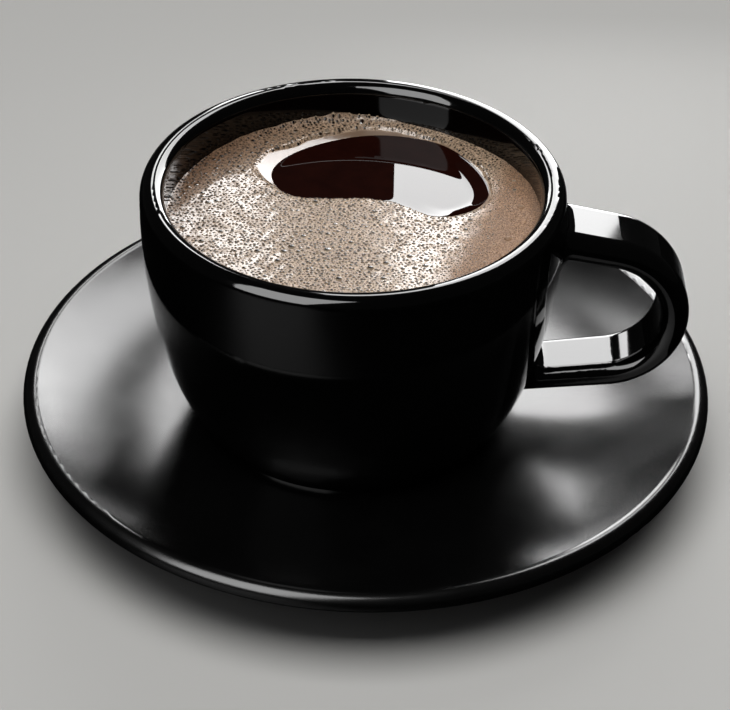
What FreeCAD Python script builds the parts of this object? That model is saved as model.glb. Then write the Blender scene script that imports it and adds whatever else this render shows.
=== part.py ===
"""A coffee cup and its saucer, filled with black coffee under a thin foam.

The cup is one piece of stoneware with its handle, standing a little to one side of the middle of a
coupe saucer. The coffee fills the cup to its level, and the foam floats on it with one clear window.

Frame: millimetres, +Z up, origin under the middle of the saucer, handle towards +X.
"""
import FreeCAD, Part
import Sketcher
import math
import os

SIZES = {
    # saucer: a coupe dish with a flat well and a full-round lip, levels from the table
    "saucerRadius": 74.5,
    "saucerWall": 4.4,
    "saucerLipRise": 6.9,
    "wellLevel": 8.0,
    "wellMargin": 3.8,
    "saucerFootRadius": 42.0,
    "saucerFootWidth": 5.5,
    "saucerFootHollow": 2.4,
    # cup body, levels from the face it stands on
    "cupShift": 3.2,
    "cupHeight": 57.2,
    "cupWall": 5.0,
    "cupFloor": 6.0,
    "bellyRadius": 44.1,
    "bellyBelowLip": 7.9,
    "sideRound": 129.0,
    "skirtJoin": 17.0,
    "skirtStep": 1.0,
    "skirtLevel": 1.3,
    "footRadius": 32.0,
    "footWidth": 4.0,
    "footHollow": 1.2,
    "bowlRound": 20.0,
    # handle: a flattened strap bent into an ear, its line at the middle of its thickness
    "handleSink": 7.1,
    "handleTailSink": 13.1,
    "handleStandOff": 24.3,
    "handleBelowLip": 30.2,
    "handleUpperRound": 16.5,
    "handleLowerRound": 15.0,
    "handleTopLean": 11.0,
    "handleTailLean": 6.4,
    "handleTopWidth": 16.6,
    "handleTopThick": 6.8,
    "handleTailWidth": 13.4,
    "handleTailThick": 5.0,
    "handleBlend": 2.5,
    # coffee, and the foam on it, which climbs a little where it meets the wall
    "fillGap": 0.05,
    "coffeeBelowLip": 10.2,
    "foamThick": 1.2,
    "foamClimb": 1.0,
    "foamClimbRound": 2.0,
    # clear window in the foam: its middle and its mean radius
    "windowAcross": 5.5,
    "windowBack": 18.0,
    "windowRadius": 17.0,
}

# what follows from them: levels below the lip, and radii that keep the pieces together
FOLLOWING = {
    "wellRadius": "=footRadius + cupShift + wellMargin",
    "bellyLevel": "=cupHeight - bellyBelowLip",
    "skirtRadius": "=footRadius + skirtStep",
    "handleRoot": "=bellyRadius - handleSink",
    "handleTailRoot": "=bellyRadius - handleTailSink",
    "handleReach": "=bellyRadius + handleStandOff",
    "handleReachLevel": "=cupHeight - handleBelowLip",
    "coffeeLevel": "=cupHeight - coffeeBelowLip",
}

# reach of the window's edge from its middle, in even steps of a turn from +X, over its mean radius
WINDOW_REACH = (1.28, 1.13, 1.06, 1.00, 0.99, 1.04, 1.21, 1.37, 1.21, 0.74, 0.60, 0.66, 1.25, 1.46)
TOUCH = 1e-4


def add_sheet(doc, sizes):
    """Write every size into the document's spreadsheet under its own alias."""
    sheet = doc.addObject("Spreadsheet::Sheet", "Sizes")
    for row, (name, value) in enumerate(sizes.items(), start=1):
        sheet.set(f"A{row}", name)
        sheet.set(f"B{row}", str(value))
        sheet.setAlias(f"B{row}", name)
    doc.recompute()
    return sheet


def add_body(doc, label):
    """Start a PartDesign body whose label names its file."""
    body = doc.addObject("PartDesign::Body", label.capitalize())
    body.Label = label
    return body


def datum(body, role):
    """Find one of the body's own origin planes or axes by its role."""
    return next(part for part in body.Origin.OriginFeatures if part.Role == role)


class Outline:
    """A chain of lines and arcs in a sketch on one of its body's origin planes.

    Each edge is drawn near its place, and then fixed by constraints bound to the sheet.
    """

    def __init__(self, body, name, role="XZ_Plane"):
        self.sketch = body.newObject("Sketcher::SketchObject", name)
        self.sketch.AttachmentSupport = (datum(body, role), "")
        self.sketch.MapMode = "FlatFace"
        self.ends = []

    def line(self, start, end):
        """Add a straight edge from start to end."""
        edge = Part.LineSegment(FreeCAD.Vector(*start, 0), FreeCAD.Vector(*end, 0))
        self.ends.append((1, 2))
        return self.sketch.addGeometry(edge)

    def arc(self, start, through, end):
        """Add an arc from start through a middle point to end."""
        points = [FreeCAD.Vector(*point, 0) for point in (start, through, end)]
        forward = (points[1] - points[0]).cross(points[2] - points[1]).z > 0
        self.ends.append((1, 2) if forward else (2, 1))
        return self.sketch.addGeometry(Part.Arc(*points))

    def join(self, smooth=(), closed=True):
        """Join each edge to the next, as a tangent where the first edge's number is named."""
        count = len(self.ends)
        for first in range(count if closed else count - 1):
            second = (first + 1) % count
            kind = "Tangent" if first in smooth else "Coincident"
            self.tie(kind, first, self.ends[first][1], second, self.ends[second][0])

    def tie(self, kind, *where):
        """Add a constraint that has no size."""
        self.sketch.addConstraint(Sketcher.Constraint(kind, *where))

    def bind(self, kind, *where, value):
        """Add a constraint whose size is an expression on the sheet."""
        number = self.sketch.addConstraint(Sketcher.Constraint(kind, *where))
        self.sketch.setExpression(f"Constraints[{number}]", value)

    def radius(self, edge, value):
        """Bind an arc's radius."""
        drawn = self.sketch.Geometry[edge].Radius
        self.bind("Radius", edge, drawn, value=value)

    def across(self, edge, end, value):
        """Bind the distance from the axis to an edge's start (0) or end (1)."""
        point = self.ends[edge][end]
        drawn = self.sketch.getPoint(edge, point).x
        self.bind("DistanceX", -1, 1, edge, point, drawn, value=value)

    def level(self, edge, end, value):
        """Bind the height of an edge's start (0) or end (1) above the sketch's origin."""
        point = self.ends[edge][end]
        drawn = self.sketch.getPoint(edge, point).y
        self.bind("DistanceY", -1, 1, edge, point, drawn, value=value)

    def centre(self, edge, across=None, inward=None, level=None):
        """Bind an arc's centre, its distance given outward or, past the axis, inward."""
        drawn = self.sketch.getPoint(edge, 3)
        if across is not None:
            self.bind("DistanceX", -1, 1, edge, 3, drawn.x, value=across)
        if inward is not None:
            self.bind("DistanceX", edge, 3, -1, 1, -drawn.x, value=inward)
        if level is not None:
            self.bind("DistanceY", -1, 1, edge, 3, drawn.y, value=level)

    def on_axis(self, edge, end):
        """Keep an edge's start (0) or end (1) on the turning axis."""
        self.tie("PointOnObject", edge, self.ends[edge][end], -2)


def turn(body, kind, outline, name):
    """Turn an outline a full circle about the body's upright axis, adding or cutting."""
    feature = body.newObject(f"PartDesign::{kind}", name)
    feature.Profile = outline.sketch
    feature.ReferenceAxis = (datum(body, "Z_Axis"), [""])
    feature.Angle = 360.0
    return feature


def make_saucer(doc):
    """A coupe saucer: flat well, one long rise, full-round lip, and a foot ring beneath."""
    body = add_body(doc, "saucer")
    section = Outline(body, "SaucerSection")
    section.line((0, 2.4), (36.5, 2.4))
    section.line((36.5, 2.4), (36.5, 0))
    section.line((36.5, 0), (42, 0))
    section.line((42, 0), (42, 3.7))
    section.arc((42, 3.7), (58, 6.5), (73.3, 13))
    section.arc((73.3, 13), (74.5, 14.9), (71.2, 16.8))
    section.arc((71.2, 16.8), (56, 10.3), (39, 8))
    section.line((39, 8), (0, 8))
    section.line((0, 8), (0, 2.4))
    section.join(smooth=(4, 5, 6))
    hollow, inner, ring, outer, under, lip, dish, well, axis = range(9)
    for edge in (hollow, ring, well):
        section.tie("Horizontal", edge)
    for edge in (inner, outer, axis):
        section.tie("Vertical", edge)
    section.on_axis(axis, 0)
    section.level(hollow, 0, "Sizes.saucerFootHollow")
    section.tie("PointOnObject", ring, section.ends[ring][0], -1)
    section.across(inner, 0, "Sizes.saucerFootRadius - Sizes.saucerFootWidth")
    section.across(outer, 0, "Sizes.saucerFootRadius")
    section.level(well, 0, "Sizes.wellLevel")
    section.across(well, 0, "Sizes.wellRadius")
    section.tie("Coincident", under, 3, dish, 3)
    section.radius(lip, "Sizes.saucerWall / 2")
    section.centre(
        lip,
        across="Sizes.saucerRadius - Sizes.saucerWall / 2",
        level="Sizes.wellLevel + Sizes.saucerLipRise",
    )
    turn(body, "Revolution", section, "SaucerTurned")
    return body


def cup_outside(body):
    """Half section of the cup's outside: foot ring, round skirt, nearly upright side, outer lip."""
    section = Outline(body, "CupOutside", "YZ_Plane")
    section.line((0, 0), (32, 0))
    section.line((32, 0), (32, 1.3))
    section.line((32, 1.3), (33, 1.3))
    section.arc((33, 1.3), (37.4, 9), (39.9, 17))
    section.arc((39.9, 17), (43, 33), (44, 54.8))
    section.arc((44, 54.8), (43.3, 56.5), (41.5, 57.2))
    section.line((41.5, 57.2), (0, 57.2))
    section.line((0, 57.2), (0, 0))
    section.join(smooth=(3, 4, 5))
    ring, rise, step, skirt, side, lip, top, axis = range(8)
    for edge in (ring, step, top):
        section.tie("Horizontal", edge)
    for edge in (rise, axis):
        section.tie("Vertical", edge)
    section.tie("Coincident", ring, 1, -1, 1)
    section.across(ring, 1, "Sizes.footRadius")
    section.level(rise, 1, "Sizes.skirtLevel")
    section.across(step, 1, "Sizes.skirtRadius")
    section.level(skirt, 1, "Sizes.skirtJoin")
    section.radius(side, "Sizes.sideRound")
    section.centre(side, inward="Sizes.sideRound - Sizes.bellyRadius", level="Sizes.bellyLevel")
    section.radius(lip, "Sizes.cupWall / 2")
    section.level(lip, 1, "Sizes.cupHeight")
    return section


def cup_inside(body):
    """Half section of the cup's inside, from the floor up over the inner half of the lip."""
    section = Outline(body, "CupInside", "YZ_Plane")
    section.line((0, 6), (16.5, 6))
    section.arc((16.5, 6), (30.6, 11.9), (36, 21.5))
    section.arc((36, 21.5), (38.5, 38), (39, 54.9))
    section.arc((39, 54.9), (39.8, 56.5), (41.5, 57.2))
    section.line((41.5, 57.2), (0, 57.2))
    section.line((0, 57.2), (0, 6))
    section.join(smooth=(0, 1, 2, 3))
    floor, bowl, side, lip, top, axis = range(6)
    section.tie("Horizontal", floor)
    section.tie("Horizontal", top)
    section.tie("Vertical", axis)
    section.on_axis(axis, 0)
    section.level(floor, 0, "Sizes.cupFloor")
    section.radius(bowl, "Sizes.bowlRound")
    section.radius(side, "Sizes.sideRound - Sizes.cupWall")
    section.centre(side, inward="Sizes.sideRound - Sizes.bellyRadius", level="Sizes.bellyLevel")
    section.radius(lip, "Sizes.cupWall / 2")
    section.level(top, 0, "Sizes.cupHeight")
    return section


def foot_hollow(body):
    """Half section of the shallow hollow inside the cup's foot ring."""
    section = Outline(body, "FootHollow", "YZ_Plane")
    section.line((0, 0), (28, 0))
    section.line((28, 0), (28, 1.2))
    section.line((28, 1.2), (0, 1.2))
    section.line((0, 1.2), (0, 0))
    section.join()
    section.tie("Horizontal", 0)
    section.tie("Vertical", 1)
    section.tie("Horizontal", 2)
    section.tie("Vertical", 3)
    section.tie("Coincident", 0, 1, -1, 1)
    section.across(0, 1, "Sizes.footRadius - Sizes.footWidth")
    section.level(1, 1, "Sizes.footHollow")
    return section


def handle_line(body):
    """The handle's middle line: down a little from the side, round in two arcs, and back."""
    path = Outline(body, "HandleLine")
    path.line((37, 46.9), (54.7, 43.4))
    path.arc((54.7, 43.4), (63.3, 38.9), (68.1, 27.2))
    path.arc((68.1, 27.2), (64.5, 17.5), (54.8, 12.3))
    path.line((54.8, 12.3), (31, 9.6))
    path.join(smooth=(0, 1, 2), closed=False)
    top, upper, lower, tail = range(4)
    path.across(top, 0, "Sizes.handleRoot")
    path.bind("Angle", top, math.radians(-11), value="-Sizes.handleTopLean")
    path.radius(upper, "Sizes.handleUpperRound")
    path.radius(lower, "Sizes.handleLowerRound")
    path.across(upper, 1, "Sizes.handleReach")
    path.level(upper, 1, "Sizes.handleReachLevel")
    path.centre(upper, level="Sizes.handleReachLevel")
    path.across(tail, 1, "Sizes.handleTailRoot")
    path.bind("Angle", tail, math.radians(186.4), value="180 + Sizes.handleTailLean")
    return path


def strap_section(body, name, width, thick, root, level, lean):
    """A flat oval across the handle's line, on the upright plane at the handle's root."""
    section = Outline(body, name, "YZ_Plane")
    sketch = section.sketch
    sketch.setExpression("AttachmentOffset.Base.z", root)
    sketch.setExpression("AttachmentOffset.Base.y", level)
    sketch.setExpression("AttachmentOffset.Rotation.Angle", lean)
    sketch.AttachmentOffset = FreeCAD.Placement(
        FreeCAD.Vector(0, 0, 0), FreeCAD.Rotation(FreeCAD.Vector(1, 0, 0), 1)
    )
    section.line((-5, -3), (5, -3))
    section.arc((5, -3), (8, 0), (5, 3))
    section.line((5, 3), (-5, 3))
    section.arc((-5, 3), (-8, 0), (-5, -3))
    section.join(smooth=(0, 1, 2, 3))
    under, right, over, left = range(4)
    section.tie("Horizontal", under)
    section.tie("Horizontal", over)
    section.tie("Symmetric", right, 3, left, 3, -1, 1)
    section.radius(right, f"{thick} / 2")
    section.bind("DistanceX", left, 3, right, 3, 10.0, value=f"{width} - {thick}")
    return section


def run_level(side, rounding, lean, root):
    """The level, as an expression, of the handle's line where one of its runs meets its root.

    The run leaves its arc at the lean's angle; side is "+" for the top run and "-" for the tail.
    """
    drop = f"{rounding} * cos({lean} * 1deg)"
    run = f"(Sizes.handleReach - {rounding} + {rounding} * sin({lean} * 1deg) - {root})"
    return f"Sizes.handleReachLevel {side} ({drop} + {run} * tan({lean} * 1deg))"


def blend_handle(body, strap, turned):
    """Round the inner corner where the handle grows out of the cup's side.

    Its edges are the ones near the handle that lie on the turned side.
    """
    roots = []
    for number, edge in enumerate(strap.Shape.Edges, start=1):
        points = [vertex.Point for vertex in edge.Vertexes]
        points.append(edge.valueAt((edge.FirstParameter + edge.LastParameter) / 2))
        by_handle = all(abs(point.y) < SIZES["handleTopWidth"] < point.x for point in points)
        if by_handle and all(
            turned.Shape.distToShape(Part.Vertex(point))[0] < TOUCH for point in points
        ):
            roots.append(f"Edge{number}")
    blend = body.newObject("PartDesign::Fillet", "HandleBlend")
    blend.Base = (strap, roots)
    blend.setExpression("Radius", "Sizes.handleBlend")


def make_cup(doc):
    """The cup and its handle: one turned body, a bent strap blended into it, then hollowed."""
    body = add_body(doc, "cup")
    turned = turn(body, "Revolution", cup_outside(body), "CupTurned")
    path = handle_line(body)
    root = strap_section(
        body,
        "StrapRoot",
        "Sizes.handleTopWidth",
        "Sizes.handleTopThick",
        "Sizes.handleRoot",
        run_level("+", "Sizes.handleUpperRound", "Sizes.handleTopLean", "Sizes.handleRoot"),
        "Sizes.handleTopLean * 1deg",
    )
    tail = strap_section(
        body,
        "StrapTail",
        "Sizes.handleTailWidth",
        "Sizes.handleTailThick",
        "Sizes.handleTailRoot",
        run_level("-", "Sizes.handleLowerRound", "Sizes.handleTailLean", "Sizes.handleTailRoot"),
        "180deg - Sizes.handleTailLean * 1deg",
    )
    doc.recompute()
    strap = body.newObject("PartDesign::AdditivePipe", "Strap")
    strap.Profile = root.sketch
    strap.Spine = (path.sketch, [f"Edge{number}" for number in range(1, 5)])
    strap.Transformation = "Multisection"
    strap.Sections = [(tail.sketch, [""])]
    strap.Mode = "Frenet"
    doc.recompute()
    blend_handle(body, strap, turned)
    doc.recompute()
    turn(body, "Groove", cup_inside(body), "CupHollowed")
    turn(body, "Groove", foot_hollow(body), "FootHollowed")
    stand_in_well(body)
    return body


def stand_in_well(piece):
    """Stand a piece on the saucer's well, to the side where the cup stands."""
    piece.setExpression("Placement.Base.x", "-Sizes.cupShift")
    piece.setExpression("Placement.Base.z", "Sizes.wellLevel")


def make_coffee(doc):
    """The coffee: the cup's hollow up to its level, a hair clear of the glaze."""
    body = add_body(doc, "coffee")
    section = Outline(body, "CoffeeSection")
    section.line((0, 6.05), (16.5, 6.05))
    section.arc((16.5, 6.05), (30.6, 11.9), (36, 21.5))
    section.arc((36, 21.5), (38, 32), (39.05, 49.6))
    section.line((39.05, 49.6), (0, 49.6))
    section.line((0, 49.6), (0, 6.05))
    section.join(smooth=(0, 1))
    floor, bowl, side, top, axis = range(5)
    section.tie("Horizontal", floor)
    section.tie("Horizontal", top)
    section.tie("Vertical", axis)
    section.on_axis(axis, 0)
    section.level(floor, 0, "Sizes.cupFloor + Sizes.fillGap")
    section.level(top, 0, "Sizes.coffeeLevel")
    section.radius(bowl, "Sizes.bowlRound - Sizes.fillGap")
    section.radius(side, "Sizes.sideRound - Sizes.cupWall - Sizes.fillGap")
    section.centre(side, inward="Sizes.sideRound - Sizes.bellyRadius", level="Sizes.bellyLevel")
    turn(body, "Revolution", section, "CoffeeTurned")
    stand_in_well(body)
    return body


def fill_radius(sheet, level):
    """How wide what fills the cup is at a level, following the round of the wall."""
    reach = sheet.sideRound - sheet.cupWall - sheet.fillGap
    centre = sheet.bellyRadius - sheet.sideRound
    return centre + math.sqrt(reach**2 - (level - sheet.bellyLevel) ** 2)


def window_edge(sheet):
    """The closed edge of the foam's window: a soft, uneven patch, drawn by its reach each way."""
    points = []
    for step, reach in enumerate(WINDOW_REACH):
        turned = 2 * math.pi * step / len(WINDOW_REACH)
        across = sheet.windowAcross + sheet.windowRadius * reach * math.cos(turned)
        back = sheet.windowBack + sheet.windowRadius * reach * math.sin(turned)
        points.append(FreeCAD.Vector(across, back, 0))
    curve = Part.BSplineCurve()
    curve.interpolate(points, PeriodicFlag=True)
    return Part.Wire(curve.toShape())


def foam_section(sheet):
    """Half section of the foam: flat below, flat on top, and a hollow round up to the wall."""
    bottom = sheet.coffeeLevel
    top = bottom + sheet.foamThick
    crest = top + sheet.foamClimb
    wall = fill_radius(sheet, crest)
    round_ = sheet.foamClimbRound
    start = wall - math.sqrt(round_**2 - (round_ - sheet.foamClimb) ** 2)
    halfway = math.acos(1 - sheet.foamClimb / round_) / 2
    corners = {
        "floor": (0, bottom),
        "heel": (fill_radius(sheet, bottom), bottom),
        "side": (fill_radius(sheet, top), top),
        "crest": (wall, crest),
        "curl": (start + round_ * math.sin(halfway), top + round_ * (1 - math.cos(halfway))),
        "edge": (start, top),
        "middle": (0, top),
    }
    at = {name: FreeCAD.Vector(across, 0, level) for name, (across, level) in corners.items()}
    edges = [
        Part.LineSegment(at["floor"], at["heel"]),
        Part.Arc(at["heel"], at["side"], at["crest"]),
        Part.Arc(at["crest"], at["curl"], at["edge"]),
        Part.LineSegment(at["edge"], at["middle"]),
        Part.LineSegment(at["middle"], at["floor"]),
    ]
    return Part.Face(Part.Wire([edge.toShape() for edge in edges]))


def make_foam(doc, sheet):
    """The foam: a thin layer on the coffee out to the wall, with the window cut through it."""
    axis = FreeCAD.Vector(0, 0, 1)
    layer = foam_section(sheet).revolve(FreeCAD.Vector(0, 0, 0), axis, 360)
    window = Part.Face(window_edge(sheet))
    window.translate(axis * (sheet.coffeeLevel - sheet.foamThick))
    hole = window.extrude(axis * (3 * sheet.foamThick))
    foam = doc.addObject("Part::Feature", "Foam")
    foam.Label = "foam"
    foam.Shape = layer.cut(hole)
    stand_in_well(foam)
    return foam


def check(doc, pieces):
    """Stop if any object failed, any sketch is loose, or any piece isn't one valid solid."""
    for item in doc.Objects:
        if "Invalid" in item.State or "Error" in item.State:
            raise RuntimeError(f"{item.Name} did not build: {item.State}")
        if item.TypeId == "Sketcher::SketchObject" and not item.FullyConstrained:
            raise RuntimeError(f"{item.Name} is not fully constrained")
    for piece in pieces:
        shape = piece.Shape
        if shape.isNull() or not shape.isValid() or len(shape.Solids) != 1:
            raise RuntimeError(f"{piece.Label} is not one valid solid")
        print(f"{piece.Label}: {shape.Volume / 1000:.1f} ml of solid")


def main():
    """Build every piece, check it and write it to parts/."""
    doc = FreeCAD.newDocument("CoffeeCup")
    sheet = add_sheet(doc, SIZES | FOLLOWING)
    pieces = [make_saucer(doc), make_cup(doc), make_coffee(doc), make_foam(doc, sheet)]
    doc.recompute()
    check(doc, pieces)
    os.makedirs("parts", exist_ok=True)
    for piece in pieces:
        piece.Shape.exportStep(f"parts/{piece.Label}.step")


main()
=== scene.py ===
"""A cup of black coffee on its saucer: the glazes, the coffee and its foam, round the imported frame.

The cup, the saucer and the body of the coffee keep their frame meshes and get their finishes here.
The foam is made as true-size meshes: a wet skin with a clear film round its window, and thousands
of bubbles that stand in it. The coffee in the window draws up where it meets the foam.

Metres throughout, +Z up, the saucer's middle over the origin and the handle towards +X. Sizes that
are written as a number times MM are millimetres.
"""

import logging
import math
from dataclasses import dataclass, field
from enum import Enum
from typing import Any

import bpy
import numpy as np
from mathutils import Matrix, Vector

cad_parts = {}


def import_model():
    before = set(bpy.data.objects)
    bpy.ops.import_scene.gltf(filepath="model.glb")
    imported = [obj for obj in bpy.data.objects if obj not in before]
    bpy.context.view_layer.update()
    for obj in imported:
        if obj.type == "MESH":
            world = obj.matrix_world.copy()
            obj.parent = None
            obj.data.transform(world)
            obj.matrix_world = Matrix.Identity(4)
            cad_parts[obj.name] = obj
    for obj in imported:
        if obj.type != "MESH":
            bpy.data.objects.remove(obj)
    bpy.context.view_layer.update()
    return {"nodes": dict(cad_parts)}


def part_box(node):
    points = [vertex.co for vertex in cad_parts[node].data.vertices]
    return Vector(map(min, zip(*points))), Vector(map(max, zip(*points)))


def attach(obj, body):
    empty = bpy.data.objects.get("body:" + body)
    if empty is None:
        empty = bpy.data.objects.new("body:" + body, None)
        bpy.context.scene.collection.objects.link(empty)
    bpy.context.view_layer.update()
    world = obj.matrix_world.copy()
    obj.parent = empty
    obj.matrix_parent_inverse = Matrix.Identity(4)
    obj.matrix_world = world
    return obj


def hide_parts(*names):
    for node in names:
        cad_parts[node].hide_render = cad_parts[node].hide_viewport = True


LOG = logging.getLogger("coffee_cup")
MM = 0.001
BODY = "root"
TURN = 2 * math.pi
WATER_IOR = 1.34
GLASS_IOR = 1.5
EDGE_POINTS = 720
BATCH = 1000

Array = np.ndarray


class Slot(Enum):
    """Names of two material slots, coffee and foam; no piece here is given one."""

    COFFEE = "coffee"
    FOAM = "foam"


# ---------------------------------------------------------------- helpers


@dataclass(frozen=True)
class Bump:
    """A smooth hump in an angle, for what is highest towards one side. Angles are in degrees."""

    height: float
    centre: float
    spread: float
    power: int = 2

    def at(self, turn: Array) -> Array:
        """Height at angles in radians: height * exp(-(angle off centre / spread) ** power)."""
        off = np.angle(np.exp(1j * (turn - math.radians(self.centre))))
        return self.height * np.exp(-((off / math.radians(self.spread)) ** self.power))


@dataclass(frozen=True)
class Ripple:
    """A small wave along one coordinate or several."""

    height: float
    rates: tuple[float, ...]
    phase: float = 0.0

    def at(self, *along: Array) -> Array:
        """Height there: height * sin(sum of rate * coordinate + phase)."""
        return self.height * np.sin(sum(r * a for r, a in zip(self.rates, along)) + self.phase)


def total(shapes: tuple[Bump, ...] | tuple[Ripple, ...], *along: Array) -> Array:
    """Sum of the heights of bumps or of ripples at the same coordinates."""
    return sum(shape.at(*along) for shape in shapes)


def smooth_step(share: Array) -> Array:
    """Ease a share from 0 to 1, held at both ends: s * s * (3 - 2 * s)."""
    held = np.clip(share, 0, 1)
    return held * held * (3 - 2 * held)


def turn_about(places: Array, centre: Array) -> Array:
    """Angle of each place about a centre, in radians from +X."""
    away = places - centre
    return np.arctan2(away[:, 1], away[:, 0])


def ring(turns: Array) -> Array:
    """Points of the unit circle, one row of x, y per angle."""
    return np.stack([np.cos(turns), np.sin(turns)], 1)


def linear(hex_colour: str) -> tuple[float, float, float, float]:
    """Turn an sRGB hex colour into linear light.

    Args:
        hex_colour: Six hex digits, such as "c8a98a".

    Returns:
        Red, green, blue and an alpha of one.
    """
    shares = [int(hex_colour[i : i + 2], 16) / 255 for i in (0, 2, 4)]
    bent = [s / 12.92 if s <= 0.04045 else ((s + 0.055) / 1.055) ** 2.4 for s in shares]
    return (*bent, 1.0)


def per_metre(size_mm: float) -> float:
    """Texture scale that gives features of a real size in millimetres."""
    return 1 / (size_mm * MM)


def add_node(tree: Any, kind: str, values: dict | None = None, links: dict | None = None) -> Any:
    """Add one node to a tree, with its settings and the links into it.

    Args:
        tree: The node tree.
        kind: Blender's name for the node's type.
        values: Input names or numbers, or properties of the node, with their values.
        links: Input names or numbers, with the sockets that feed them.

    Returns:
        The new node.
    """
    node = tree.nodes.new(kind)
    links = links or {}
    for key, value in (values or {}).items():
        if isinstance(key, str) and hasattr(node, key):
            setattr(node, key, value)
        else:
            node.inputs[key].default_value = value
    for key, socket in links.items():
        tree.links.new(socket, node.inputs[key])
    return node


def new_material(name: str) -> tuple[Any, Any]:
    """Make an empty node material.

    Args:
        name: The finish's name.

    Returns:
        The material and its node tree.
    """
    material = bpy.data.materials.new(name)
    material.use_nodes = True
    material.node_tree.nodes.clear()
    return material, material.node_tree


def mesh_piece(
    name: str, points: Array, faces: list[Array], fields: dict[str, Array] | None = None
) -> Any:
    """Make a smooth mesh object at the origin from whole arrays.

    Args:
        name: The piece's name.
        points: One row of x, y, z per vertex, in metres.
        faces: Arrays of vertex numbers, one row per face, each array of one face size.
        fields: Named values, one per vertex, kept as float attributes for its finish.

    Returns:
        The new object, linked to the scene.
    """
    mesh = bpy.data.meshes.new(name)
    mesh.vertices.add(len(points))
    mesh.vertices.foreach_set("co", np.asarray(points, np.float32).ravel())
    counts = np.concatenate([np.full(len(rows), rows.shape[1]) for rows in faces])
    corners = np.concatenate([rows.ravel() for rows in faces])
    mesh.loops.add(len(corners))
    mesh.loops.foreach_set("vertex_index", corners.astype(np.int32))
    mesh.polygons.add(len(counts))
    starts = np.concatenate([[0], np.cumsum(counts)[:-1]])
    mesh.polygons.foreach_set("loop_start", starts.astype(np.int32))
    mesh.update(calc_edges=True)
    mesh.validate()
    mesh.shade_smooth()
    for key, values in (fields or {}).items():
        kept = mesh.attributes.new(key, "FLOAT", "POINT")
        kept.data.foreach_set("value", values.astype(np.float32))
    piece = bpy.data.objects.new(name, mesh)
    bpy.context.scene.collection.objects.link(piece)
    return piece


def ring_faces(rows: int, columns: int) -> Array:
    """Quads of a grid that closes round on itself, facing up where its rings run outwards.

    Args:
        rows: Number of rings of points.
        columns: Points in each ring.

    Returns:
        One row of four vertex numbers per face.
    """
    row, column = np.meshgrid(np.arange(rows - 1), np.arange(columns), indexing="ij")
    here = (row * columns + column).ravel()
    beside = (row * columns + (column + 1) % columns).ravel()
    return np.stack([here + columns, beside + columns, beside, here], 1)


def dress(piece: Any, material: Any) -> None:
    """Give a piece one material in place of what it has, and report it.

    Args:
        piece: The piece's object.
        material: Its finish.
    """
    piece.data.materials.clear()
    piece.data.materials.append(material)
    LOG.info("%s: %d faces in %s", piece.name, len(piece.data.polygons), material.name)


def settle(piece: Any, material: Any) -> None:
    """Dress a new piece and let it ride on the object's one body.

    Args:
        piece: The new piece's object.
        material: Its finish.
    """
    dress(piece, material)
    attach(piece, BODY)


# ---------------------------------------------------------------- finishes


@dataclass(frozen=True)
class BlackGlaze:
    """Black glaze on stoneware: dipped, then fired until the coat flows into glass.

    The ground is almost black, so what the eye gets is the gloss, the slight waves of a coat that
    flowed, and a fine grain of crystals where it was cooled to satin. Shine is the specular level.
    """

    name: str
    deep: str
    light: str
    roughness: tuple[float, float]
    wave_mm: float
    wave_height_mm: float
    grain_mm: float
    grain_height_mm: float
    shine: float
    cloud_mm: float = 9.0

    def build(self) -> Any:
        """Make the material.

        Returns:
            The material, its pattern on Object coordinates.
        """
        smoothest, roughest = self.roughness
        material, tree = new_material(self.name)
        place = add_node(tree, "ShaderNodeTexCoord").outputs["Object"]
        clouds = add_node(
            tree,
            "ShaderNodeTexNoise",
            {"Scale": per_metre(self.cloud_mm), "Detail": 4.0, "Roughness": 0.6},
            {"Vector": place},
        ).outputs["Fac"]
        grain = add_node(
            tree,
            "ShaderNodeTexNoise",
            {"Scale": per_metre(self.grain_mm), "Detail": 2.0, "Roughness": 0.5},
            {"Vector": place},
        ).outputs["Fac"]
        wave = add_node(
            tree,
            "ShaderNodeTexNoise",
            {"Scale": per_metre(self.wave_mm), "Detail": 1.0, "Roughness": 0.4},
            {"Vector": place},
        ).outputs["Fac"]
        shade = add_node(
            tree,
            "ShaderNodeMix",
            {"data_type": "RGBA", 6: linear(self.deep), 7: linear(self.light)},
            {0: clouds},
        ).outputs[2]
        gloss = add_node(
            tree,
            "ShaderNodeMapRange",
            {"From Min": 0.3, "From Max": 0.7, "To Min": smoothest, "To Max": roughest},
            {"Value": clouds},
        ).outputs["Result"]
        flowed = add_node(
            tree,
            "ShaderNodeBump",
            {"Strength": 1.0, "Distance": self.wave_height_mm * MM},
            {"Height": wave},
        ).outputs["Normal"]
        surface = add_node(
            tree,
            "ShaderNodeBump",
            {"Strength": 1.0, "Distance": self.grain_height_mm * MM},
            {"Height": grain, "Normal": flowed},
        ).outputs["Normal"]
        shader = add_node(
            tree,
            "ShaderNodeBsdfPrincipled",
            {"IOR": GLASS_IOR, "Specular IOR Level": self.shine},
            {"Base Color": shade, "Roughness": gloss, "Normal": surface},
        )
        add_node(tree, "ShaderNodeOutputMaterial", links={"Surface": shader.outputs[0]})
        return material


# gloss black on the cup, inside and out: almost a mirror, with slow waves in the glass
CUP_GLAZE = BlackGlaze(
    name="gloss_black_glaze",
    deep="020202",
    light="060606",
    roughness=(0.05, 0.08),
    wave_mm=14.0,
    wave_height_mm=0.003,
    grain_mm=0.6,
    grain_height_mm=0.00002,
    shine=0.35,
)
# satin black on the saucer: its grain is drawn at 0.5 mm, coarser than the real crystals, to show
SAUCER_GLAZE = BlackGlaze(
    name="satin_black_glaze",
    deep="040404",
    light="080808",
    roughness=(0.20, 0.24),
    wave_mm=18.0,
    wave_height_mm=0.002,
    grain_mm=0.5,
    grain_height_mm=0.007,
    shine=0.4,
)


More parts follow.
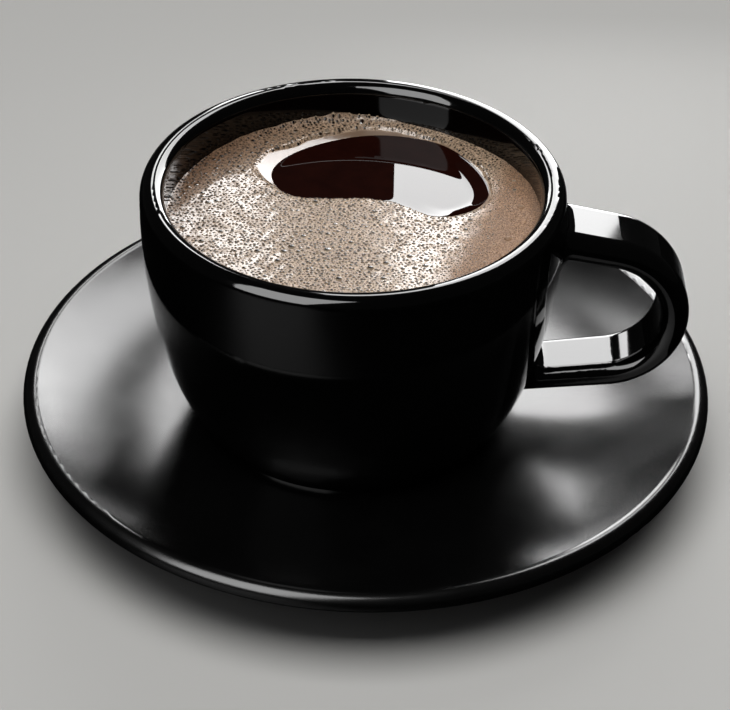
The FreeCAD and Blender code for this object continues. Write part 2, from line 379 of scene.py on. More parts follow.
@dataclass(frozen=True)
class BrewFinish:
    """Black coffee, brewed and still: a very dark red-brown liquid under a smooth mirror."""

    name: str = "black_coffee"
    deep: str = "100403"
    light: str = "260d08"
    roughness: float = 0.01
    cloud_mm: float = 6.0

    def build(self) -> Any:
        """Make the material.

        Returns:
            The material, faintly cloudy from fine grounds over a few millimetres.
        """
        material, tree = new_material(self.name)
        place = add_node(tree, "ShaderNodeTexCoord").outputs["Object"]
        clouds = add_node(
            tree,
            "ShaderNodeTexNoise",
            {"Scale": per_metre(self.cloud_mm), "Detail": 5.0, "Roughness": 0.65},
            {"Vector": place},
        ).outputs["Fac"]
        shade = add_node(
            tree,
            "ShaderNodeMix",
            {"data_type": "RGBA", 6: linear(self.deep), 7: linear(self.light)},
            {0: clouds},
        ).outputs[2]
        shader = add_node(
            tree,
            "ShaderNodeBsdfPrincipled",
            {"IOR": WATER_IOR, "Roughness": self.roughness},
            {"Base Color": shade},
        )
        add_node(tree, "ShaderNodeOutputMaterial", links={"Surface": shader.outputs[0]})
        return material


@dataclass(frozen=True)
class FoamFinish:
    """Coffee foam, whipped up as the coffee was poured: pale milky-brown walls between bubbles.

    It is wet on top, so it mirrors the lamps in patches. Four attributes of the mesh steer it:
    "pit" is how far a point looks down into a bubble, from 0 on a wall to 1 in a dark middle,
    "pale" is how fine and dry the foam is, a share of painted shade darkens it to brown by the wall
    at the back left, and "film" is where the clear film lies. A cell pattern draws the bubbles that
    are too small for the mesh.
    """

    name: str
    wall: str
    pale: str
    pit: str
    shaded: str
    cell_mm: float
    cell_share: float
    roughness: float
    coat: float
    coat_roughness: float
    cloud_mm: float = 3.5
    puddle_mm: float = 2.2
    dry_coat: float = 0.04
    dry_roughness: float = 0.75

    def build(self) -> Any:
        """Make the material.

        Returns:
            The material.
        """
        material, tree = new_material(self.name)
        place = add_node(tree, "ShaderNodeTexCoord").outputs["Object"]
        pit, pale, stain, film = (
            add_node(tree, "ShaderNodeAttribute", {"attribute_name": steer}).outputs["Fac"]
            for steer in ("pit", "pale", "stain", "film")
        )
        clouds = add_node(
            tree,
            "ShaderNodeTexNoise",
            {"Scale": per_metre(self.cloud_mm), "Detail": 3.0, "Roughness": 0.6},
            {"Vector": place},
        ).outputs["Fac"]
        cells = add_node(
            tree,
            "ShaderNodeTexVoronoi",
            {"Scale": per_metre(self.cell_mm), "Randomness": 0.9},
            {"Vector": place},
        ).outputs["Distance"]
        hollow = add_node(
            tree,
            "ShaderNodeMapRange",
            {"From Min": 0.15, "From Max": 0.75, "To Min": self.cell_share, "To Max": 0.0},
            {"Value": cells},
        ).outputs["Result"]
        ground = add_node(
            tree,
            "ShaderNodeMix",
            {"data_type": "RGBA", 6: linear(self.wall), 7: linear(self.pale)},
            {0: pale},
        ).outputs[2]
        # painted shade: the ground turns darker brown where the painted-shade attribute is high, by
        # the wall at the back left
        shaded = add_node(
            tree,
            "ShaderNodeMix",
            {"data_type": "RGBA", 7: linear(self.shaded)},
            {0: stain, 6: ground},
        ).outputs[2]
        tinted = add_node(
            tree,
            "ShaderNodeMix",
            {"data_type": "RGBA", "blend_type": "MULTIPLY", 0: 0.35},
            {6: shaded, 7: clouds},
        ).outputs[2]
        deepest = add_node(
            tree,
            "ShaderNodeMath",
            {"operation": "MAXIMUM"},
            {0: pit, 1: hollow},
        ).outputs[0]
        shade = add_node(
            tree,
            "ShaderNodeMix",
            {"data_type": "RGBA", 7: linear(self.pit)},
            {0: deepest, 6: tinted},
        ).outputs[2]
        coat = add_node(
            tree,
            "ShaderNodeMapRange",
            {"From Min": 0.0, "From Max": 1.0, "To Min": self.coat, "To Max": self.dry_coat},
            {"Value": pale},
        ).outputs["Result"]
        patches = add_node(
            tree,
            "ShaderNodeTexNoise",
            {"Scale": per_metre(self.puddle_mm), "Detail": 2.0, "Roughness": 0.6},
            {"Vector": place},
        ).outputs["Fac"]
        puddles = add_node(
            tree,
            "ShaderNodeMapRange",
            {"From Min": 0.4, "From Max": 0.56, "To Min": 0.1, "To Max": 1.0},
            {"Value": patches},
        ).outputs["Result"]
        smooth = add_node(
            tree, "ShaderNodeMath", {"operation": "MAXIMUM"}, {0: puddles, 1: film}
        ).outputs[0]
        wet = add_node(
            tree, "ShaderNodeMath", {"operation": "MULTIPLY"}, {0: coat, 1: smooth}
        ).outputs[0]
        dry = add_node(
            tree,
            "ShaderNodeMapRange",
            {
                "From Min": 0.0,
                "From Max": 1.0,
                "To Min": self.roughness,
                "To Max": self.dry_roughness,
            },
            {"Value": pale},
        ).outputs["Result"]
        shader = add_node(
            tree,
            "ShaderNodeBsdfPrincipled",
            {
                "IOR": WATER_IOR,
                "Coat Roughness": self.coat_roughness,
                "Coat IOR": WATER_IOR,
            },
            {"Base Color": shade, "Coat Weight": wet, "Roughness": dry},
        )
        add_node(tree, "ShaderNodeOutputMaterial", links={"Surface": shader.outputs[0]})
        return material


# painted shade: the darker brown that the foam is turned to by the wall at the back left
SHADE_BROWN = "937258"
# the liquid skin between the bubbles, flat enough to mirror a lamp: its cells are drawn at 0.4 mm,
# coarser than the finest real bubbles, to show
SKIN_FINISH = FoamFinish(
    name="foam_skin",
    wall="dcbea0",
    pale="bb9270",
    pit="3c241a",
    shaded=SHADE_BROWN,
    cell_mm=0.4,
    cell_share=0.75,
    roughness=0.3,
    coat=1.0,
    coat_roughness=0.08,
)
# large bubbles, whose thin clear walls glint
LARGE_FINISH = FoamFinish(
    name="foam_large_bubbles",
    wall="f0d8ba",
    pale="c9a17e",
    pit="1a0e08",
    shaded=SHADE_BROWN,
    cell_mm=0.2,
    cell_share=0.1,
    roughness=0.1,
    coat=1.0,
    coat_roughness=0.03,
)
# smaller bubbles: pale rims and dark middles, with little gloss of their own
BUBBLE_FINISH = FoamFinish(
    name="foam_bubbles",
    wall="e8ccac",
    pale="bb9270",
    pit="140a06",
    shaded=SHADE_BROWN,
    cell_mm=0.2,
    cell_share=0.1,
    roughness=0.1,
    coat=0.15,
    coat_roughness=0.05,
)


# ---------------------------------------------------------------- the pieces


@dataclass
class Ware:
    """The glazed stoneware, whose frame meshes are right and keep their place."""

    nodes: dict[str, Any]

    def finish(self) -> None:
        """Glaze the cup and the saucer."""
        for node, glaze in (("cup", CUP_GLAZE), ("saucer", SAUCER_GLAZE)):
            dress(self.nodes[node], glaze.build())


@dataclass
class Filling:
    """Where the coffee and its foam lie, read from the frame, and the shapes of their surfaces.

    Heights are in metres, but the bumps and ripples of the film and of the climb are in
    millimetres, and those of the swell and of the painted shade are shares. An edge point is told by
    its angle about the window's middle.

    The coffee lies at the frame's level and a hair's lift above it. It draws up by "pull" all round
    the window, and along a ramp at the right end. From its edge the foam rises over the clear film
    and a shoulder to its depth, then up a low bank by the handle and up the wall, with a slow
    swell.
    """

    nodes: dict[str, Any]
    foam_depth: float = 1.2 * MM
    lift: float = 0.03 * MM
    pull: float = 0.08 * MM
    pull_reach: float = 0.5 * MM
    right_slope: float = 0.17
    right_reach: float = 3.4 * MM
    right_soft: float = 0.35 * MM
    right_from: float = 7.0 * MM
    right_onset: float = 11.0 * MM
    film_slope: float = 0.22
    film_least: float = 0.25
    film_bumps: tuple[Bump, ...] = (Bump(2.6, 172, 17, 4), Bump(1.5, 118, 42, 4))
    film_ripples: tuple[Ripple, ...] = (Ripple(0.12, (11,)), Ripple(0.08, (29,)))
    shoulder_reach: float = 0.5 * MM
    shoulder_power: float = 1.5
    climb_reach: float = 0.9 * MM
    climb_least: float = 0.2
    climb_bumps: tuple[Bump, ...] = (
        Bump(1.75, 94, 17),
        Bump(0.6, 126, 18),
        Bump(0.5, 8, 24),
        Bump(0.2, 200, 30),
    )
    climb_ripples: tuple[Ripple, ...] = (
        Ripple(0.5, (23,), 1.1),
        Ripple(0.35, (41,), 2.3),
        Ripple(0.25, (67,)),
    )
    scallop: float = 0.16
    bank_slope: float = 0.05
    bank_from: float = 25.0 * MM
    swell_height: float = 0.011 * MM
    swell_onset: float = 2.5 * MM
    swell_ripples: tuple[Ripple, ...] = (
        Ripple(1.0, (0.9, 0.5)),
        Ripple(1.0, (1.7, -1.1), 2.0),
        Ripple(0.5, (1.4, 2.6)),
    )
    chop: Ripple = Ripple(0.35, (3.9, 2.2), 1.0)
    chop_beat: Ripple = Ripple(1.0, (-0.5, 0.8))
    # painted shade by the wall at the back left: its bump in the angle and its reach from the wall
    shade_bump: Bump = Bump(1.0, 150, 48)
    shade_reach: float = 9.0 * MM
    fine_lean: float = 0.33
    fine_across: float = 5.0
    fine_onset: float = 8.0
    axis: Array = field(init=False)
    wall: float = field(init=False)
    level: float = field(init=False)
    middle: Array = field(init=False)
    edge_turns: Array = field(init=False)
    edge_reach: Array = field(init=False)

    def __post_init__(self) -> None:
        """Read the wall, the coffee's level and the window's edge from the frame.

        The edge is made of the points of the foam's underside that lie well inside the wall.
        """
        low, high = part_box("foam")
        self.axis = np.array([(low.x + high.x) / 2, (low.y + high.y) / 2])
        self.wall = (high.x - low.x) / 2
        self.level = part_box("coffee")[1].z
        mesh = self.nodes["foam"].data
        flat = np.zeros(len(mesh.vertices) * 3)
        mesh.vertices.foreach_get("co", flat)
        points = flat.reshape(-1, 3)
        bottom = points[np.abs(points[:, 2] - low.z) < 0.01 * MM, :2]
        inside = np.hypot(*(bottom - self.axis).T) < self.wall - 0.8 * MM
        edge = np.unique(np.round(bottom[inside], 7), axis=0)
        self.middle = (edge.min(0) + edge.max(0)) / 2
        turns = np.mod(turn_about(edge, self.middle), TURN)
        order = np.argsort(turns)
        self.edge_turns = turns[order]
        self.edge_reach = np.hypot(*(edge - self.middle).T)[order]

    def edge(self, turns: Array) -> Array:
        """Points of the window's edge at angles about its middle, one row of x, y per angle."""
        reach = np.interp(turns, self.edge_turns, self.edge_reach, period=TURN)
        return self.middle + ring(turns) * reach[:, None]

    def wall_points(self, turns: Array) -> Array:
        """Points of the wall that lie from the window's middle at these angles.

        Args:
            turns: Angles about the window's middle.

        Returns:
            One row of x, y per angle, where the ray from the middle meets the wall's circle.
        """
        ray = ring(turns)
        start = self.middle - self.axis
        along = ray @ start
        reach = -along + np.sqrt(along**2 + self.wall**2 - start @ start)
        return self.middle + ray * reach[:, None]

    def to_wall(self, places: Array) -> Array:
        """Distance of each place from the wall, never below zero."""
        return np.maximum(self.wall - np.hypot(*(places - self.axis).T), 0)

    def from_edge(self, places: Array) -> Array:
        """Distance from the window's edge, counted as positive on the foam.

        Args:
            places: One row of x, y per place.

        Returns:
            The least distance to a closed line of edge points, negative inside the window.
        """
        line = self.edge(np.linspace(0, TURN, EDGE_POINTS, endpoint=False))
        near = np.empty(len(places))
        for start in range(0, len(places), BATCH):
            part = places[start : start + BATCH]
            gaps = part[:, None, :] - line[None, :, :]
            near[start : start + BATCH] = np.sqrt((gaps**2).sum(2).min(1))
        turns = np.mod(turn_about(places, self.middle), TURN)
        reach = np.interp(turns, self.edge_turns, self.edge_reach, period=TURN)
        return np.where(np.hypot(*(places - self.middle).T) < reach, -near, near)

    def film_width(self, places: Array) -> Array:
        """Width of the clear film that slopes down to the coffee, free of bubbles.

        It is widest at the left end of the window and along its back, and narrow elsewhere.

        Args:
            places: One row of x, y per place.

        Returns:
            Widths in metres: the least width, with bumps and ripples in the angle about the
            window's middle.
        """
        turn = turn_about(places, self.middle)
        added = total(self.film_bumps, turn) + total(self.film_ripples, turn)
        return (self.film_least + added) * MM

    def climb(self, places: Array) -> Array:
        """How high the foam clings to the wall at each place's angle about the cup's axis.

        It is highest at the back, then by the handle, and its rim is scalloped.

        Args:
            places: One row of x, y per place.

        Returns:
            The height in metres: bumps in the angle, and ripples that grow with them.
        """
        turn = turn_about(places, self.axis)
        broad = self.climb_least + total(self.climb_bumps, turn)
        return (broad + self.scallop * total(self.climb_ripples, turn) * (0.1 + broad)) * MM

    def right_pull(self, places: Array, inside: Array | float) -> Array:
        """How high the coffee is drawn up the bank of foam at the right end of the window.

        Args:
            places: One row of x, y per place.
            inside: Distance from the edge, negative inside the window and zero at its edge.

        Returns:
            Heights in metres: slope * ln(1 + exp(distance)), a ramp with a soft foot, which sets in
            smoothly along +X.
        """
        share = smooth_step((places[:, 0] - self.middle[0] - self.right_from) / self.right_onset)
        ramp = self.right_soft * np.log1p(np.exp((inside + self.right_reach) / self.right_soft))
        return share * self.right_slope * ramp

    def coffee_height(self, places: Array, beyond: Array) -> Array:
        """Height of the coffee: its level plus two pulls that fade away from the window's edge.

        Args:
            places: One row of x, y per place.
            beyond: Distance from the edge, negative inside the window.

        Returns:
            Heights in metres: level + lift + pull * exp(distance / reach), with the right end's own
            pull added.
        """
        inside = np.minimum(beyond, 0)
        drawn = self.right_pull(places, inside)
        return self.level + self.lift + drawn + self.pull * np.exp(inside / self.pull_reach)

    def foam_height(self, places: Array, beyond: Array | None = None) -> Array:
        """Height of the foam's wet skin.

        From the coffee's edge the clear film rises evenly, then a soft shoulder reaches the foam's
        depth as 1 - exp(-distance), and near the wall the skin climbs as exp(-distance to it).

        Args:
            places: One row of x, y per place.
            beyond: Distance from the window's edge, where it is known already.

        Returns:
            Heights in metres.
        """
        beyond = self.from_edge(places) if beyond is None else beyond
        beyond, width = np.maximum(beyond, 0), self.film_width(places)
        film = self.film_slope * np.minimum(beyond, width)
        foot = self.lift + self.pull + self.right_pull(places, 0.0)
        rest = self.foam_depth - foot - self.film_slope * width
        past = np.maximum(beyond - width, 0)
        rounding = np.exp(-((past / self.shoulder_reach) ** self.shoulder_power))
        shoulder = film + rest * (1 - rounding)
        climbed = self.climb(places) * np.exp(-self.to_wall(places) / self.climb_reach)
        x, y = places.T / MM
        swell = total(self.swell_ripples, x, y) + self.chop.at(x, y) * self.chop_beat.at(x, y)
        swell = swell * (1 - np.exp(-((beyond / self.swell_onset) ** 2)))
        bank = self.bank_slope * np.maximum(places[:, 0] - self.axis[0] - self.bank_from, 0)
        return self.level + foot + shoulder + bank + climbed + self.swell_height * swell

    def stain(self, places: Array) -> Array:
        """Share of painted shade on the foam, a darker brown: a bump by the wall at the back left."""
        near_wall = np.exp(-((self.to_wall(places) / self.shade_reach) ** 2))
        return self.shade_bump.at(turn_about(places, self.axis)) * near_wall

    def fineness(self, places: Array, start: float = 23.0) -> Array:
        """How fine, pale and dry the foam is, from 0 to 1: most at the right, by the handle.

        Args:
            places: One row of x, y per place.
            start: Where it begins, in millimetres from the cup's axis towards +X.

        Returns:
            The share, a smooth step along +X that sets in sooner towards the front.
        """
        x, y = (places - self.axis).T / MM
        leant = x - start - self.fine_lean * (y - self.fine_across)
        return smooth_step(leant / self.fine_onset)


@dataclass
class Coffee:
    """The coffee: its body from the frame, and the curved surface that shows in the window."""

    filling: Filling
    columns: int = 240
    rows: int = 60
    under: float = 0.3 * MM

    def build(self) -> None:
        """Dress the body and lay the surface on it.

        The surface is a round grid from the window's middle to its edge, at
        middle + share * (edge - middle), with the height that the filling gives, and a flat
        underside that lies in the body.
        """
        material, filling = BrewFinish().build(), self.filling
        dress(filling.nodes["coffee"], material)
        turns = np.linspace(0, TURN, self.columns, endpoint=False)
        shares = np.sin(np.linspace(0, 1, self.rows + 1)[1:] * math.pi / 2)
        edge = filling.edge(turns) - filling.middle
        places = (filling.middle + shares[:, None, None] * edge[None]).reshape(-1, 2)
        top = np.column_stack([places, filling.coffee_height(places, filling.from_edge(places))])
        low = filling.level - self.under
        under = np.column_stack([places[-self.columns :], np.full(self.columns, low)])
        middle = np.append(filling.middle, filling.level + filling.lift)
        points = np.vstack([top, under, middle, np.append(filling.middle, low)])
        first, second = np.arange(self.columns), (np.arange(self.columns) + 1) % self.columns
        base = self.rows * self.columns
        top_middle, low_middle = base + self.columns, base + self.columns + 1
        faces = [
            ring_faces(self.rows + 1, self.columns),
            np.stack([np.full(self.columns, top_middle), first, second], 1),
            np.stack([np.full(self.columns, low_middle), base + second, base + first], 1),
        ]
        piece = mesh_piece("coffee_surface", points, faces)
        settle(piece, material)


@dataclass
class Foam:
    """The foam: a wet skin out to the wall, and the bubbles that stand in it.

    Radii of middling and fine bubbles are shares of their lattice's pitch, heights are shares of
    the radius, and pits_from and dry_from are starts for the filling's fineness.
    """

    filling: Filling
    seed: int = 7
    columns: int = 720
    rows: int = 56
    pitch: float = 0.88 * MM
    fine_pitch: float = 0.5 * MM
    jitter: float = 0.3
    middling_radii: tuple[float, float] = (0.27, 0.49)
    fine_radii: tuple[float, float] = (0.16, 0.34)
    large_radii: tuple[float, float] = (0.34 * MM, 0.85 * MM)
    closeness: float = 0.93
    cap_heights: tuple[float, float] = (0.3, 0.55)
    cap_sunk: float = 0.1
    darkness: tuple[float, float] = (0.86, 0.14)
    skin_under: float = 0.02 * MM
    film_fade: float = 0.12 * MM
    film_depth: float = 0.7
    pits_from: float = 30.0
    dry_from: float = 28.0

    def build(self) -> None:
        """Build the skin in place of the frame's foam, and then the bubbles."""
        self.skin()
        self.bubbles()

    def skin(self) -> None:
        """Lay the skin: rows from the window's edge to the wall, and a flat underside to close it.

        A point is edge + share * (wall - edge), with the shares closer together at both ends.
        """
        filling = self.filling
        turns = np.linspace(0, TURN, self.columns, endpoint=False)
        shares = (1 - np.cos(np.linspace(0, math.pi, self.rows))) / 2
        inner, outer = filling.edge(turns), filling.wall_points(turns)
        places = (inner[None] + shares[:, None, None] * (outer - inner)[None]).reshape(-1, 2)
        beyond = np.maximum(filling.from_edge(places), 0)
        beyond[: self.columns] = 0
        top = np.column_stack([places, filling.foam_height(places, beyond)])
        rims = np.vstack([places[-self.columns :], places[: self.columns]])
        under = np.column_stack([rims, np.full(len(rims), filling.level - self.skin_under)])
        points = np.vstack([top, under])
        inner_rim = len(top) + self.columns
        first, second = np.arange(self.columns), (np.arange(self.columns) + 1) % self.columns
        faces = [
            ring_faces(self.rows + 2, self.columns),
            np.stack([first, second, inner_rim + second, inner_rim + first], 1),
        ]
        past = np.append(beyond, np.zeros(len(under))) - filling.film_width(points[:, :2])
        film = 1 / (1 + np.exp(np.clip(past / self.film_fade, -30, 30)))
        fields = {
            "pit": self.film_depth * film,
            "pale": filling.fineness(points[:, :2]),
            # painted shade by the wall at the back left
            "stain": filling.stain(points[:, :2]),
            "film": film,
        }
        piece = mesh_piece("foam_skin", points, faces, fields)
        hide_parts("foam")
        settle(piece, SKIN_FINISH.build())

    def lattice(self, pitch: float, draw: np.random.Generator) -> Array:
        """Places of a staggered lattice over the cup, each moved a little.

        Args:
            pitch: Distance between neighbours.
            draw: Source of random numbers.

        Returns:
            One row of x, y per place, inside the wall and outside the window and its film.
        """
        filling, jitter = self.filling, self.jitter
        across = np.arange(-filling.wall, filling.wall, pitch)
        back = np.arange(-filling.wall, filling.wall, pitch * math.sqrt(0.75))
        x, y = np.meshgrid(across, back)
        x = x + (np.arange(len(back)) % 2)[:, None] * pitch / 2
        places = np.column_stack([x.ravel(), y.ravel()])
        places = places + draw.uniform(-jitter, jitter, places.shape) * pitch + filling.axis
        kept = places[np.hypot(*(places - filling.axis).T) < filling.wall - 0.1 * MM]
        return kept[filling.from_edge(kept) > filling.film_width(kept) + 0.15 * MM]

    def clear_of(self, places: Array, radii: Array, others: Array, other_radii: Array) -> Array:
        """Which bubbles keep clear of others.

        Args:
            places: Their places.
            radii: Their radii.
            others: The other bubbles' places.
            other_radii: The other bubbles' radii.

        Returns:
            True for each whose middle is further off than the closeness times both radii.
        """
        free = np.ones(len(places), bool)
        for start in range(0, len(places), BATCH):
            part = places[start : start + BATCH]
            gaps = np.sqrt(((part[:, None] - others[None]) ** 2).sum(2))
            reach = radii[start : start + BATCH, None] + other_radii[None]
            free[start : start + BATCH] = (gaps > self.closeness * reach).all(1)
        return free

    def bubbles(self) -> None:
        """Scatter three sizes of bubble: large ones, a close layer of middling ones, and fine ones.

        Middling ones are a little larger by the wall at the back left, and smaller and fewer where
        the foam is fine. The fine ones fill the gaps.
        """
        draw = np.random.default_rng(self.seed)
        filling = self.filling
        places = self.lattice(self.pitch, draw)
        turn = np.degrees(turn_about(places, filling.axis))
        back_left = (turn > 95) & (turn < 185) & (filling.to_wall(places) < 8 * MM)
        radii = self.pitch * draw.uniform(*self.middling_radii, len(places))
        radii = radii * (1 + 0.12 * back_left) * (1 - 0.4 * filling.fineness(places))
        large = self.large_bubbles(draw)
        dropped = 0.6 * filling.fineness(places, self.pits_from)
        keep = self.clear_of(places, radii, *large) & (draw.random(len(places)) > dropped)
        middling = places[keep], radii[keep]
        places = self.lattice(self.fine_pitch, draw)
        places = places[draw.random(len(places)) < 0.6 + 0.4 * filling.fineness(places)]
        radii = self.fine_pitch * draw.uniform(*self.fine_radii, len(places))
        keep = self.clear_of(places, radii, *large) & self.clear_of(places, radii, *middling)
        fine = places[keep], radii[keep]
        dull, bright = BUBBLE_FINISH.build(), LARGE_FINISH.build()
        for name, bubbles, sides, rings, material in (
            ("bubbles_large", large, 14, 4, bright),
            ("bubbles_middling", middling, 8, 2, dull),
            ("bubbles_fine", fine, 6, 2, dull),
        ):
            settle(self.domes(name, *bubbles, sides, rings, draw), material)

    def large_bubbles(self, draw: np.random.Generator) -> tuple[Array, Array]:
        """Throw large bubbles one by one, and keep each that lies clear of those before it.

        A third are thrown by the wall at the left and back, and the rest anywhere.

        Args:
            draw: Source of random numbers.

        Returns:
            Their places and radii.
        """
        filling, by_wall, anywhere = self.filling, 260, 520
        turns = np.concatenate([draw.normal(140, 32, by_wall), draw.uniform(0, 360, anywhere)])
        inward = np.concatenate([draw.gamma(2.0, 1.9, by_wall), draw.uniform(0.8, 34, anywhere)])
        sizes = np.concatenate([draw.gamma(5.0, 0.085, by_wall), draw.gamma(5.0, 0.08, anywhere)])
        turns, inward, sizes = np.radians(turns), inward * MM, sizes * MM
        sizes = np.clip(sizes, *self.large_radii)
        reach = np.maximum(filling.wall - inward - sizes, 0)
        thrown = filling.axis + ring(turns) * reach[:, None]
        on_foam = filling.from_edge(thrown) > sizes + filling.film_width(thrown)
        thrown, sizes = thrown[on_foam], sizes[on_foam]
        kept: list[int] = []
        for number in range(len(thrown)):
            gaps = np.hypot(*(thrown[kept] - thrown[number]).T)
            if not kept or (gaps > sizes[kept] + sizes[number]).all():
                kept.append(number)
        return thrown[kept], sizes[kept]

    def domes(
        self,
        name: str,
        places: Array,
        radii: Array,
        sides: int,
        rings: int,
        draw: np.random.Generator,
    ) -> Any:
        """Build one closed cap per bubble, sunk a little into the skin and leaning with its slope.

        A cap of radius r and height h is the top of a sphere of radius (r*r + h*h) / 2h.

        Args:
            name: The piece's name.
            places: The bubbles' middles.
            radii: Their radii.
            sides: Points round each ring.
            rings: Rings from the top to the foot.
            draw: Source of random numbers.

        Returns:
            The piece.
        """
        filling = self.filling
        count = len(places)
        height = radii * draw.uniform(*self.cap_heights, count)
        sphere = (radii**2 + height**2) / (2 * height)
        shares = np.linspace(0, 1, rings + 1)[1:]
        turns = np.linspace(0, TURN, sides, endpoint=False)
        unit = np.vstack([[0, 0], (shares[:, None, None] * ring(turns)[None]).reshape(-1, 2)])
        offset = unit[None] * radii[:, None, None]
        spread = np.hypot(offset[..., 0], offset[..., 1])
        rise = np.sqrt(np.maximum(sphere[:, None] ** 2 - spread**2, 0)) - (sphere - height)[:, None]
        step = 0.05 * MM
        base = filling.foam_height(places)
        slope_x = (filling.foam_height(places + [step, 0]) - base) / step
        slope_y = (filling.foam_height(places + [0, step]) - base) / step
        lean = offset[..., 0] * slope_x[:, None] + offset[..., 1] * slope_y[:, None]
        z = (base - self.cap_sunk * height)[:, None] + rise + lean
        xy = places[:, None, :] + offset
        points = np.concatenate([xy, z[..., None]], 2)
        from_axis = points[..., :2] - filling.axis
        far = np.hypot(from_axis[..., 0], from_axis[..., 1])
        squeeze = np.minimum(1, (filling.wall - 0.02 * MM) / np.maximum(far, 1e-9))
        points[..., :2] = filling.axis + from_axis * squeeze[..., None]
        faces = self.dome_faces(count, sides, rings)
        depth = np.clip(1.35 * (1 - (spread / radii[:, None]) ** 2), 0, 1)
        darkness = draw.normal(*self.darkness, count) + 0.2 * (radii > 0.38 * MM)
        darkness = np.clip(darkness, 0.3, 1)
        darkness = darkness * (1 - 0.7 * filling.fineness(places, self.pits_from))
        fields = {
            "pit": (depth * darkness[:, None]).ravel(),
            "pale": np.repeat(filling.fineness(places, self.dry_from), len(unit)),
            # painted shade by the wall at the back left
            "stain": np.repeat(filling.stain(places), len(unit)),
        }
        return mesh_piece(name, points.reshape(-1, 3), faces, fields)

    def dome_faces(self, count: int, sides: int, rings: int) -> list[Array]:
        """Faces of closed caps: a fan round each top, bands of quads, and one flat foot.

        Args:
            count: Number of caps.
            sides: Points round each ring.
            rings: Rings from the top to the foot.

        Returns:
            One array of vertex numbers for each kind of face.
        """
        here, beside = np.arange(sides), (np.arange(sides) + 1) % sides
        fan = np.stack([np.zeros(sides, int), 1 + here, 1 + beside], 1)
        bands = [
            np.stack([upper + here, lower + here, lower + beside, upper + beside], 1)
            for upper, lower in ((1 + sides * (k - 1), 1 + sides * k) for k in range(1, rings))
        ]
        foot = (1 + sides * (rings - 1) + here)[::-1][None]
        starts = (np.arange(count) * (1 + sides * rings))[:, None, None]
        return [(rows[None] + starts).reshape(-1, rows.shape[1]) for rows in (fan, *bands, foot)]


# ---------------------------------------------------------------- the studio


@dataclass(frozen=True)
class SoftBox:
    """A soft box: a flat lamp of even brightness that faces a point of the scene.

    Brightness is radiance, so that its mirror image is equally bright at any distance. Some show in
    the gloss only and some light the matt surfaces only.
    """

    name: str
    place: tuple[float, float, float]
    aim: tuple[float, float, float]
    width: float
    height: float
    radiance: float
    in_gloss: bool = True
    on_matt: bool = True

    def build(self) -> None:
        """Hang the box. Its power is pi * area * radiance."""
        lamp = bpy.data.lights.new(self.name, "AREA")
        lamp.shape = "RECTANGLE"
        lamp.size, lamp.size_y = self.width, self.height
        lamp.energy = math.pi * self.width * self.height * self.radiance
        box = bpy.data.objects.new(self.name, lamp)
        back = Vector(self.place) - Vector(self.aim)
        facing = back.to_track_quat("Z", "Y").to_matrix().to_4x4()
        box.matrix_world = Matrix.Translation(self.place) @ facing
        box.visible_camera = False
        box.visible_glossy = self.in_gloss
        box.visible_diffuse = self.on_matt
        bpy.context.scene.collection.objects.link(box)


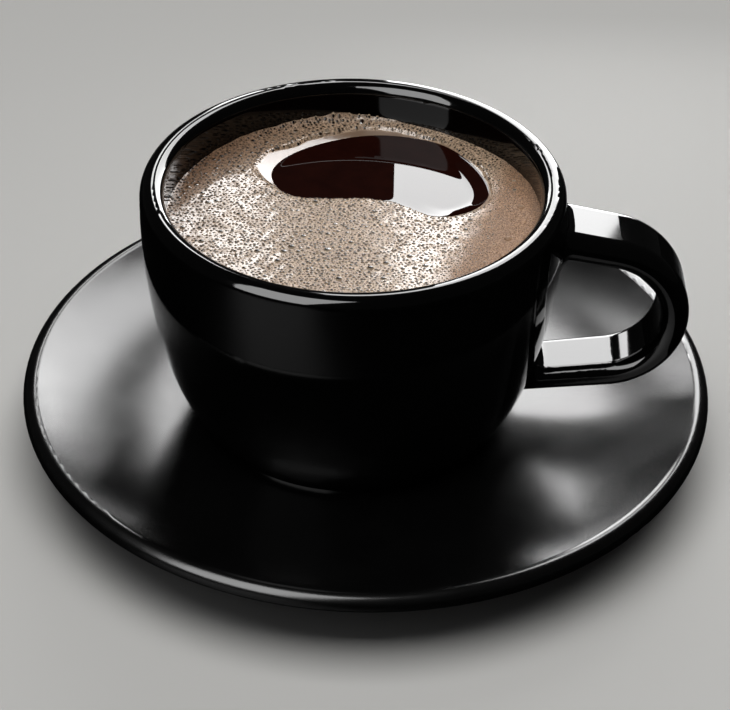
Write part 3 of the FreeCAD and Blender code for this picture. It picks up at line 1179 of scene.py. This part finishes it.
@dataclass(frozen=True)
class Studio:
    """The floor, the lamps and the camera. None of it is part of the object.

    Upright boxes behind the saucer and a large one at the front left show in the glaze and the
    foam, and two lamps that the gloss doesn't show light the floor and the foam evenly. The lens
    and the sensor's width are in millimetres, and the camera's turns are in degrees.
    """

    floor_colour: str = "c9c8c5"
    table_colour: str = "18181a"
    world_colour: str = "262626"
    lens: float = 107.07
    sensor: float = 36.0
    camera_place: tuple[float, float, float] = (-0.0003, -0.38032, 0.30137)
    camera_down: float = 36.459
    camera_roll: float = 0.86
    boxes: tuple[SoftBox, ...] = (
        SoftBox(
            "window_right", (0.068, 0.20, 0.20), (0.068, 0.0, 0.20), 0.12, 0.32, 13.0, on_matt=False
        ),
        SoftBox(
            "window_top", (-0.007, 0.20, 0.32), (-0.007, 0.0, 0.32), 0.03, 0.08, 13.0, on_matt=False
        ),
        SoftBox(
            "window_left",
            (-0.046, 0.20, 0.17),
            (-0.046, 0.0, 0.17),
            0.03,
            0.14,
            12.0,
            on_matt=False,
        ),
        SoftBox(
            "box_front_left",
            (-0.298, -0.358, 0.48),
            (0.0, 0.0, 0.06),
            0.45,
            0.7,
            9.0,
            on_matt=False,
        ),
        SoftBox("fill_top", (0.0, -0.12, 0.90), (0.0, 0.0, 0.05), 0.8, 0.8, 3.4, in_gloss=False),
        SoftBox("fill_back", (0.15, 0.60, 0.55), (0.0, 0.0, 0.05), 0.4, 0.4, 2.0, in_gloss=False),
    )

    def build(self) -> None:
        """Lay the floor, hang the lamps, and set the camera and the picture's plain tone curve."""
        self.lay_floor()
        for box in self.boxes:
            box.build()
        self.set_world()
        self.set_camera()

    def plane(self, name: str, side: float, height: float, colour: str, roughness: float) -> Any:
        """Add a square stage plane with a plain finish.

        Args:
            name: Its name, and its finish's.
            side: Length of its side.
            height: Its level.
            colour: Its colour in hex.
            roughness: Its roughness.

        Returns:
            The plane.
        """
        material, tree = new_material(name)
        shader = add_node(
            tree, "ShaderNodeBsdfPrincipled", {"Base Color": linear(colour), "Roughness": roughness}
        )
        add_node(tree, "ShaderNodeOutputMaterial", links={"Surface": shader.outputs[0]})
        half = side / 2
        corners = np.array([(-half, -half), (half, -half), (half, half), (-half, half)])
        points = np.column_stack([corners, np.full(4, height)])
        piece = mesh_piece(name, points, [np.array([[0, 1, 2, 3]])])
        dress(piece, material)
        return piece

    def lay_floor(self) -> None:
        """Lay the pale floor that is seen, and the dark satin table top that the glaze mirrors."""
        floor = self.plane("floor", 8.0, -0.2 * MM, self.floor_colour, roughness=0.9)
        floor.visible_glossy = False
        table = self.plane("table_in_gloss", 3.0, -0.4 * MM, self.table_colour, roughness=0.42)
        table.visible_camera = False
        table.visible_diffuse = False
        table.visible_shadow = False

    def set_world(self) -> None:
        """Surround the scene with a dim even grey."""
        world = bpy.data.worlds.new("studio")
        world.use_nodes = True
        world.node_tree.nodes.clear()
        tree = world.node_tree
        back = add_node(
            tree, "ShaderNodeBackground", {"Color": linear(self.world_colour), "Strength": 1.0}
        )
        add_node(tree, "ShaderNodeOutputWorld", links={"Surface": back.outputs[0]})
        bpy.context.scene.world = world

    def set_camera(self) -> None:
        """Set a long lens in front of the cup, looking down on it."""
        lens = bpy.data.cameras.new("camera")
        lens.lens = self.lens
        lens.sensor_width = self.sensor
        lens.sensor_fit = "HORIZONTAL"
        lens.clip_start, lens.clip_end = 0.01, 20.0
        camera = bpy.data.objects.new("camera", lens)
        tilt = Matrix.Rotation(math.radians(90 - self.camera_down), 4, "X")
        roll = Matrix.Rotation(math.radians(self.camera_roll), 4, "Z")
        camera.matrix_world = Matrix.Translation(self.camera_place) @ tilt @ roll
        bpy.context.scene.collection.objects.link(camera)
        bpy.context.scene.camera = camera
        bpy.context.scene.view_settings.view_transform = "Standard"


def main() -> None:
    """Load the frame, build and dress every piece, and set up the studio."""
    logging.basicConfig(level=logging.INFO, format="%(name)s: %(message)s")
    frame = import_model()
    Ware(frame["nodes"]).finish()
    filling = Filling(frame["nodes"])
    Coffee(filling).build()
    Foam(filling).build()
    Studio().build()


if __name__ == "__main__":
    main()
